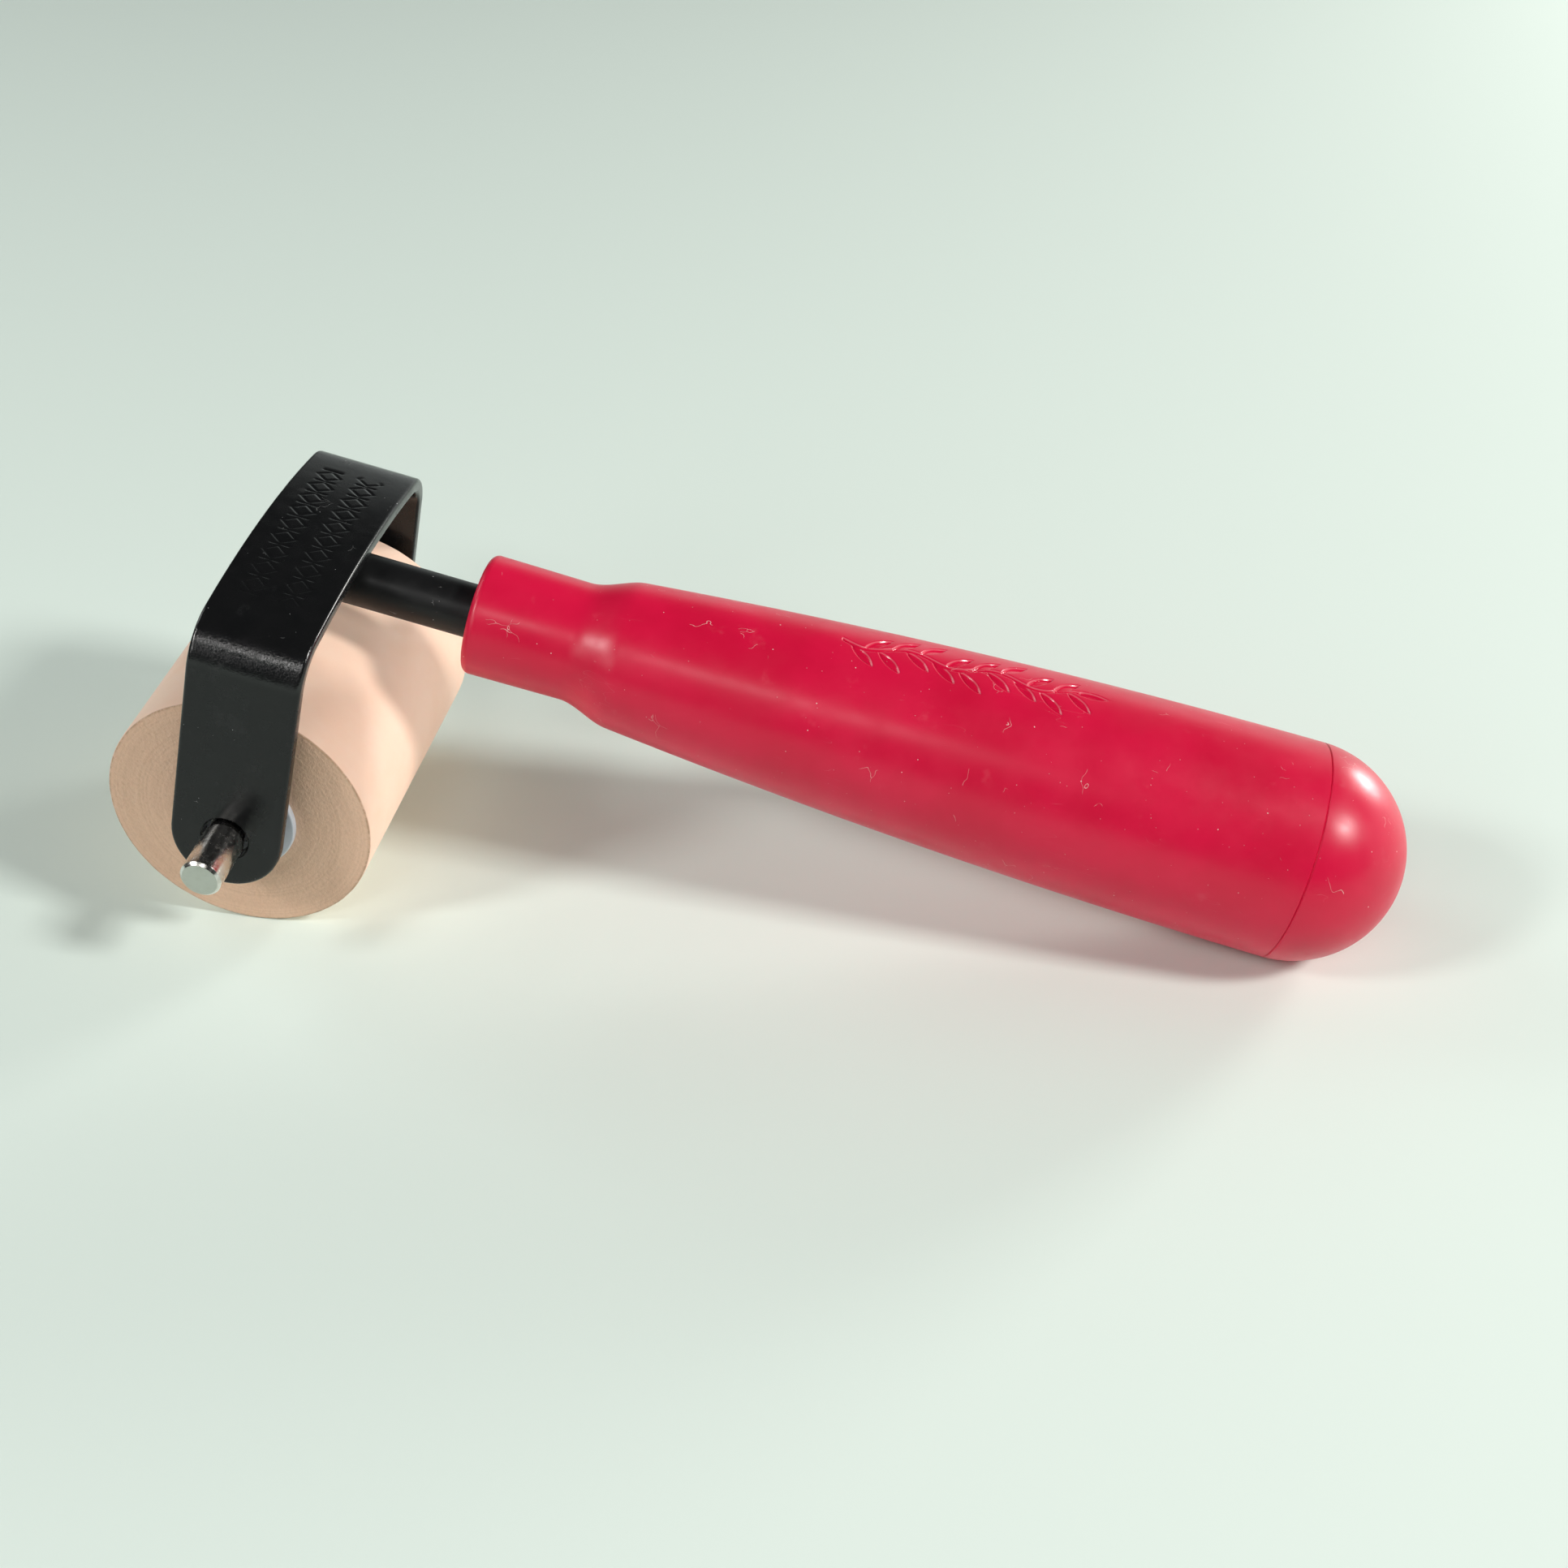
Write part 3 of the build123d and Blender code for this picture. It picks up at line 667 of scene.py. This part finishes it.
def make_strap():
    """Draws the strap flat, with rounded edges and two holes, and bends every point into place."""
    flat_half = STRAP_WIDTH / 2 - STRAP_EDGE_RADIUS
    rows = join(
        spread(0.0, STAMP_HALF_LENGTH, 110),
        spread(STAMP_HALF_LENGTH, CROWN_HALF, 8),
        spread(CROWN_HALF, SHOULDER_HALF, 26),
        spread(SHOULDER_HALF, HOLE_HALF - STRAP_WIDTH / 2, 12),
    )
    rows = join([-row for row in reversed(rows)], rows)
    end_row = rows[-1]
    side_rows = spread(end_row, HOLE_HALF, 6)
    columns = spread(-flat_half, flat_half, 84)
    round_end = arc((0.0, 0.0), flat_half, 0, 180, 48)
    around_hole = join(
        round_end,
        [(-flat_half, s - HOLE_HALF) for s in reversed(side_rows)],
        [(x, end_row - HOLE_HALF) for x in columns],
        [(flat_half, s - HOLE_HALF) for s in side_rows],
    )[:-1]
    rim = AXLE_HOLE_RADIUS + HOLE_EDGE_CHAMFER
    shell = Shell()

    # both faces: a stamped or plain grid, and rings that run from each hole out to the round end
    for depth, stamp in ((0.0, strap_stamp), (STRAP_THICKNESS, no_stamp)):
        shell.patch([[bent(x, s, depth + stamp(x, s)) for x in columns] for s in rows])
        for end in (-1, 1):
            rings = []
            for share in spread(0.0, 1.0, 6):
                ring = []
                for x, out in around_hole:
                    near = rim / math.hypot(x, out)
                    away = near + (1 - near) * share
                    ring.append(bent(x * away, end * (HOLE_HALF + out * away), depth))
                rings.append(ring)
            shell.patch(rings, across=True)

    # the holes' walls, with a chamfer at both faces
    directions = [(x / math.hypot(x, out), out / math.hypot(x, out)) for x, out in around_hole]
    wall = [(rim, 0.0), (AXLE_HOLE_RADIUS, HOLE_EDGE_CHAMFER)]
    wall += [(radius, STRAP_THICKNESS - depth) for radius, depth in reversed(wall)]
    for end in (-1, 1):
        shell.patch([
            [bent(radius * x, end * (HOLE_HALF + radius * out), depth) for x, out in directions]
            for radius, depth in wall
        ], across=True)

    # the outline: down one side, round an end, up the other side, round the other end
    side = join([-s for s in reversed(side_rows)], rows, side_rows)
    outline = [(flat_half, s, 1.0, 0.0) for s in side]
    outline += [(x, HOLE_HALF + out, x / flat_half, out / flat_half) for x, out in round_end[1:-1]]
    outline += [(-flat_half, s, -1.0, 0.0) for s in reversed(side)]
    outline += [(-x, -HOLE_HALF - out, -x / flat_half, -out / flat_half) for x, out in round_end[1:-1]]
    layers = arc((0.0, STRAP_EDGE_RADIUS), STRAP_EDGE_RADIUS, -90, 0, 5)
    layers += [(out, STRAP_THICKNESS - down) for out, down in reversed(layers)]
    shell.patch([
        [bent(x + dx * out, s + ds * out, depth) for x, s, dx, ds in outline]
        for out, depth in layers
    ], across=True)
    return shell.build("frame_strap_enamelled", sharp=40.0, weld=2e-3)


def make_stem():
    """The round rod from under the strap to the end of its socket in the handle."""
    cut = STEM_END_CHAMFER
    profile = join(
        [(STEM_FRONT, 0.0), (STEM_FRONT, STEM_RADIUS - cut), (STEM_FRONT + cut, STEM_RADIUS)],
        [(x, STEM_RADIUS) for x in spread(STEM_FRONT + 2 * cut, STEM_REAR - 2 * cut, 40)],
        [(STEM_REAR - cut, STEM_RADIUS), (STEM_REAR, STEM_RADIUS - cut), (STEM_REAR, 0.0)],
    )
    return turned(profile, full_circle(96), about_stem, closed=False).build("stem_enamelled")


RIPPLE_PITCH = 0.85
RIPPLE_HEIGHT = 0.11


def make_welds():
    """Two weld beads with the overlapping ripples of a hand weld."""
    shell = Shell()
    across = STEM_RADIUS * math.sin(WELD_ANGLE)
    height = STEM_HEIGHT + STEM_RADIUS * math.cos(WELD_ANGLE) + WELD_RADIUS / 2
    half = WELD_LENGTH / 2
    for side in (-1, 1):
        rings = []
        for x in spread(-half, half, 110):
            ring = []
            to_end = max(0.0, abs(x) - (half - WELD_RADIUS * 0.8)) / (WELD_RADIUS * 0.8)
            plump = math.sqrt(max(0.0, 1 - to_end**2))
            for turn in full_circle(40):
                bow = 0.35 * math.cos(turn - side * 0.6)
                phase = (x + bow) / RIPPLE_PITCH
                ripple = RIPPLE_HEIGHT * (1 - (phase - math.floor(phase)) ** 0.6)
                lump = 0.06 * noise.noise(Vector((x, turn, side * 5.0)))
                radius = plump * (WELD_RADIUS - ripple - abs(lump))
                y = side * across + radius * math.sin(turn)
                ring.append((x, y, height + radius * math.cos(turn)))
            rings.append(ring)
        shell.patch(rings, across=True)
    return shell.build("weld_beads_rippled", sharp=60.0)


# ---- handle ----


def shoulder_curve(count):
    """The S-shaped step from the neck to the barrel."""
    start = Vector((HANDLE_FRONT + NECK_LENGTH, NECK_REAR_RADIUS))
    end = Vector((HANDLE_FRONT + SHOULDER_END, SHOULDER_END_RADIUS))
    pull = (end - start).length
    go = Vector((NECK_LENGTH, NECK_REAR_RADIUS - NECK_FRONT_RADIUS)).normalized() * pull
    arrive = Vector((1.0, SHOULDER_END_SLOPE)).normalized() * pull
    points = []
    for t in spread(0.0, 1.0, count):
        a = 2 * t**3 - 3 * t**2 + 1
        b = t**3 - 2 * t**2 + t
        point = start * a + go * b + end * (1 - a) + arrive * (t**3 - t**2)
        points.append(tuple(point))
    return points


def barrel_circle():
    """Middle and radius of the arc through the shoulder's end, the barrel's middle and the seam."""
    x1, r1 = HANDLE_FRONT + SHOULDER_END, SHOULDER_END_RADIUS
    x2, r2 = (x1 + SEAM_X) / 2, BARREL_MIDDLE_RADIUS
    x3, r3 = SEAM_X, SEAM_RADIUS
    a, b, c, d = x2 - x1, r2 - r1, x3 - x1, r3 - r1
    e, f = (a * a + b * b) / 2, (c * c + d * d) / 2
    area = a * d - b * c
    middle = (x1 + (e * d - b * f) / area, r1 + (a * f - e * c) / area)
    return middle, math.hypot(x1 - middle[0], r1 - middle[1])


BARREL_MIDDLE, BARREL_CURVE = barrel_circle()


def barrel_radius(x):
    """Radius of the handle's barrel at that place along it."""
    return BARREL_MIDDLE[1] + math.sqrt(BARREL_CURVE**2 - (x - BARREL_MIDDLE[0]) ** 2)


SPRIG_MIDDLE = 100.8
SPRIG_HALF = 20.5
SPRIG_SPREAD = 5.6
SPRIG_DEPTH = 0.38
SPRIG_EDGE = 0.42
VINE_SWAY = 1.0
VINE_PITCH = 13.0
VINE_HALF_WIDTH = 0.34
VINE_THINNING = 0.4
VINE_START = 0.5
VINE_PAST_TIP = 0.6
TIP_MARGIN = 0.3
LEAF_LENGTH = 5.0
LEAF_HALF_WIDTH = 0.66
LEAF_TURN = 0.75
LEAF_COUNT = 17
LEAF_ROOT_OUT = 0.3
FIRST_LEAF = 2.0
LAST_LEAF_GAP = 1.0


def vine(x):
    """How far the vine sways from the middle of the sprig."""
    return VINE_SWAY * math.sin(x * math.tau / VINE_PITCH)


def leaf_gap(x, y, root_x, root_y, turn):
    """Distance outside a pointed leaf that starts at its root, less than 0 inside it."""
    dx, dy = x - root_x, y - root_y
    along = dx * math.cos(turn) + dy * math.sin(turn) - LEAF_LENGTH / 2
    out = abs(dy * math.cos(turn) - dx * math.sin(turn))
    curve = ((LEAF_LENGTH / 2) ** 2 + LEAF_HALF_WIDTH**2) / (2 * LEAF_HALF_WIDTH)
    return math.hypot(along, out + curve - LEAF_HALF_WIDTH) - curve


def sprig_depth(x, across):
    """Depth of the engraved leafy sprig on top of the handle."""
    x -= SPRIG_MIDDLE
    if abs(x) > SPRIG_HALF or abs(across) > SPRIG_SPREAD:
        return 0.0
    tip = SPRIG_HALF - LEAF_LENGTH - TIP_MARGIN
    half_width = VINE_HALF_WIDTH * (1 - VINE_THINNING * max(0.0, x) / SPRIG_HALF)
    gap = max(abs(across - vine(x)) - half_width, x - tip - VINE_PAST_TIP, VINE_START - SPRIG_HALF - x)
    first = FIRST_LEAF - SPRIG_HALF
    step = (tip - LAST_LEAF_GAP - first) / (LEAF_COUNT - 1)
    for index in range(LEAF_COUNT):
        side = 1 if index % 2 else -1
        root = first + index * step
        root_y = vine(root) + LEAF_ROOT_OUT * side
        gap = min(gap, leaf_gap(x, across, root, root_y, side * LEAF_TURN))
    gap = min(gap, leaf_gap(x, across, tip, vine(tip), 0.0))
    return SPRIG_DEPTH * smooth_step(SPRIG_EDGE / 2, -SPRIG_EDGE / 2, gap)


SEAM_ROW = 0.1
SOCKET_LEAD = 0.3


def make_handle_body():
    """The hollow handle body, with its socket for the stem and the seat for its cap."""
    front = HANDLE_FRONT
    edge = NECK_EDGE_RADIUS
    seat_x = SEAM_X - CAP_SEAT_DEPTH
    sprig_start = SPRIG_MIDDLE - SPRIG_HALF
    sprig_end = SPRIG_MIDDLE + SPRIG_HALF
    barrel = join(
        spread(front + SHOULDER_END, sprig_start, 24),
        spread(sprig_start, sprig_end, 360),
        spread(sprig_end, SEAM_X - SEAM_CHAMFER - SEAM_ROW, 30),
        [SEAM_X - SEAM_CHAMFER],
    )
    neck_taper = (NECK_FRONT_RADIUS - NECK_REAR_RADIUS) / NECK_LENGTH
    neck = spread(front + edge, front + NECK_LENGTH, 10)
    neck = [(x, NECK_FRONT_RADIUS - neck_taper * (x - front)) for x in neck]
    profile = join(
        [(front, radius) for radius in spread(STEM_BORE + SOCKET_LEAD, NECK_FRONT_RADIUS - edge, 4)],
        arc((front + edge, NECK_FRONT_RADIUS - edge), edge, 180, 90, 9),
        neck,
        shoulder_curve(26),
        [(x, barrel_radius(x)) for x in barrel],
        [(SEAM_X, SEAM_RADIUS - SEAM_CHAMFER), (SEAM_X, CAP_SEAT_RADIUS)],
        [(seat_x, CAP_SEAT_RADIUS), (seat_x, HOLLOW_REAR_RADIUS)],
        [(HOLLOW_FRONT_X, HOLLOW_FRONT_RADIUS), (HOLLOW_FRONT_X, SOCKET_RADIUS)],
        [(SOCKET_END_X, SOCKET_RADIUS), (SOCKET_END_X, STEM_BORE), (front + SOCKET_LEAD, STEM_BORE)],
    )
    sprig_turn = SPRIG_SPREAD / barrel_radius(sprig_start)
    turns = join(
        spread(-sprig_turn, sprig_turn, 100),
        spread(sprig_turn, math.tau - sprig_turn, 84),
    )[:-1]

    def place(along, radius, turn):
        off_top = (turn + math.pi) % math.tau - math.pi
        outside = sprig_start <= along <= sprig_end and radius > SOCKET_RADIUS + 1
        if outside and abs(radius - barrel_radius(along)) < 0.01:
            radius -= sprig_depth(along, off_top * radius)
        return about_stem(along, radius, turn)

    return turned(profile, turns, place).build("handle_body_moulded", sharp=44.0)


def make_handle_cap():
    """The hollow half ball that closes the handle, with the ring that sits inside the body."""
    inner = SPIGOT_RADIUS - CAP_WALL
    seam = math.degrees(math.asin(SEAM_CHAMFER / SEAM_RADIUS))
    profile = join(
        [(SEAM_X, SPIGOT_RADIUS), (SEAM_X, SEAM_RADIUS - SEAM_CHAMFER)],
        arc((SEAM_X, 0.0), SEAM_RADIUS, 90 - seam, 0, 90),
    )
    inside = join(
        [(SEAM_X, SPIGOT_RADIUS), (SEAM_X - SPIGOT_LENGTH, SPIGOT_RADIUS)],
        [(SEAM_X - SPIGOT_LENGTH, inner)],
        arc((SEAM_X, 0.0), inner, 90, 0, 24),
    )
    profile = join(list(reversed(inside)), profile)
    return turned(profile, full_circle(200), about_stem, closed=False).build("handle_cap_moulded")


def dress(piece, material, body, node):
    """Gives a new piece its material and body, in place of the CAD node, which it hides."""
    piece.data.materials.append(material)
    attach(piece, body)
    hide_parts(node)


red = red_plastic()
enamel = black_enamel("black_enamel")
nylon = natural_nylon()
stem_enamel = black_enamel("black_enamel_on_stem", rough_range=(0.38, 0.48))
weld_enamel = black_enamel("black_enamel_on_weld", grain_height=0.004, peel_height=0.03)

dress(make_sleeve(), soft_rubber(), "roller", "rubber_sleeve")
dress(make_bushing(-1, "bushing_left_nylon"), nylon, "roller", "bushing_left")
dress(make_bushing(1, "bushing_right_nylon"), nylon, "roller", "bushing_right")
dress(make_pin(), bright_nickel(), "axle", "axle_pin")
dress(make_strap(), enamel, "handle_frame", "frame_strap")
dress(make_stem(), stem_enamel, "handle_frame", "stem")
dress(make_welds(), weld_enamel, "handle_frame", "weld_beads")
dress(make_handle_body(), red, "handle_frame", "handle_body")
dress(make_handle_cap(), red, "handle_frame", "handle_cap")
for node, material in (("roller_core", core_plastic()), ("push_nut", spring_steel())):
    mesh = frame["nodes"][node].data
    mesh.materials.clear()
    mesh.materials.append(material)

# ---- floor, light and camera ----

FLOOR_SIZE = 3.0
FLOOR_COLOUR = (0.76, 0.87, 0.81)
LIGHT_AIM = Vector((0.0, 0.0, 0.03))
ROOM_COLOUR = (0.93, 1.0, 0.97)
ROOM_DIM = 0.02
ROOM_WINDOW_WALL = 1.0
WINDOW_WALL_TOWARDS = (0.65, 0.76, 0.0)


def make_floor():
    """A plain pale floor under the tool."""
    half = FLOOR_SIZE / 2
    corners = [(-half, -half, 0), (half, -half, 0), (half, half, 0), (-half, half, 0)]
    mesh = bpy.data.meshes.new("floor")
    mesh.from_pydata(corners, [], [(0, 1, 2, 3)])
    floor = bpy.data.objects.new("floor", mesh)
    bpy.context.scene.collection.objects.link(floor)
    paint = bpy.data.materials.new("floor_paint")
    paint.use_nodes = True
    shader = paint.node_tree.nodes["Principled BSDF"]
    shader.inputs["Base Color"].default_value = (*FLOOR_COLOUR, 1.0)
    shader.inputs["Roughness"].default_value = 0.7
    shader.inputs["Specular IOR Level"].default_value = 0.3
    mesh.materials.append(paint)


def add_light(name, direction, distance, width, height, power, colour):
    """A soft flat light in that direction from the tool, facing it. Power is in watts."""
    light = bpy.data.lights.new(name, "AREA")
    light.shape = "RECTANGLE"
    light.size = width
    light.size_y = height
    light.energy = power
    light.color = colour
    holder = bpy.data.objects.new(name, light)
    away = Vector(direction).normalized()
    holder.location = LIGHT_AIM + away * distance
    holder.rotation_mode = "QUATERNION"
    holder.rotation_quaternion = away.to_track_quat("Z", "Y")
    bpy.context.scene.collection.objects.link(holder)


def make_lights():
    add_light("low_window", (0.672, 0.709, 0.211), 0.9, 0.20, 0.20, 4.1, (1.0, 0.98, 0.94))
    add_light("side_lamp", (0.747, -0.180, 0.640), 1.2, 0.20, 0.20, 9.4, (1.0, 0.98, 0.95))
    add_light("front_left_lamp", (-0.637, -0.463, 0.617), 1.2, 0.22, 0.22, 4.6, (1.0, 0.99, 0.97))
    add_light("front_lamp", (-0.50, -0.75, 0.42), 1.2, 0.50, 0.40, 1.7, (1.0, 0.99, 0.97))
    add_light("front_panel", (-0.05, -0.74, 0.67), 1.2, 0.34, 0.09, 1.4, (1.0, 0.99, 0.97))
    add_light("left_panel", (-0.80, 0.25, 0.55), 1.2, 0.45, 0.45, 2.1, (0.96, 1.0, 0.99))


def make_room():
    """A dim room with a bright window wall low behind the tool, on the right."""
    world = bpy.data.worlds.new("soft_room")
    world.use_nodes = True
    tree = world.node_tree
    sky = tree.nodes["Background"]
    towards = tree.nodes.new("ShaderNodeTexCoord").outputs["Generated"]

    def blend(value, low, high, start, end):
        node = tree.nodes.new("ShaderNodeMapRange")
        node.interpolation_type = "SMOOTHSTEP"
        tree.links.new(value, node.inputs["Value"])
        limits = {"From Min": low, "From Max": high, "To Min": start, "To Max": end}
        for name, number in limits.items():
            node.inputs[name].default_value = number
        return node.outputs[0]

    split = tree.nodes.new("ShaderNodeSeparateXYZ")
    tree.links.new(towards, split.inputs[0])
    facing = tree.nodes.new("ShaderNodeVectorMath")
    facing.operation = "DOT_PRODUCT"
    tree.links.new(towards, facing.inputs[0])
    facing.inputs[1].default_value = WINDOW_WALL_TOWARDS
    brightness = tree.nodes.new("ShaderNodeMath")
    brightness.operation = "MULTIPLY_ADD"
    across = blend(facing.outputs["Value"], 0.3, 0.8, 0.0, ROOM_WINDOW_WALL)
    upwards = blend(split.outputs["Z"], 0.25, 0.50, 1.0, 0.0)
    tree.links.new(across, brightness.inputs[0])
    tree.links.new(upwards, brightness.inputs[1])
    brightness.inputs[2].default_value = ROOM_DIM
    tree.links.new(brightness.outputs[0], sky.inputs["Strength"])
    sky.inputs["Color"].default_value = (*ROOM_COLOUR, 1.0)
    bpy.context.scene.world = world


CAMERA_AIM = Vector((3.92, -8.19, 25.0)) * MM
CAMERA_DISTANCE = 331.26 * MM
CAMERA_HEADING = math.radians(-9.906)
CAMERA_TILT = math.radians(37.41)
CAMERA_ROLL = math.radians(0.31)
CAMERA_LENS = 49.97


def make_camera():
    """The camera stands back from its aim along its heading and tilt, with a very slight roll."""
    level = math.cos(CAMERA_TILT)
    forward = Vector((
        math.sin(CAMERA_HEADING) * level,
        math.cos(CAMERA_HEADING) * level,
        -math.sin(CAMERA_TILT),
    ))
    camera = bpy.data.objects.new("camera", bpy.data.cameras.new("camera"))
    camera.data.lens = CAMERA_LENS
    camera.data.sensor_width = 36.0
    camera.data.clip_start = 0.01
    camera.location = CAMERA_AIM - forward * CAMERA_DISTANCE
    camera.rotation_mode = "QUATERNION"
    level_view = forward.to_track_quat("-Z", "Y")
    camera.rotation_quaternion = Quaternion(forward, -CAMERA_ROLL) @ level_view
    bpy.context.scene.collection.objects.link(camera)
    bpy.context.scene.camera = camera


make_floor()
make_lights()
make_room()
make_camera()
bpy.context.scene.view_settings.view_transform = "Standard"
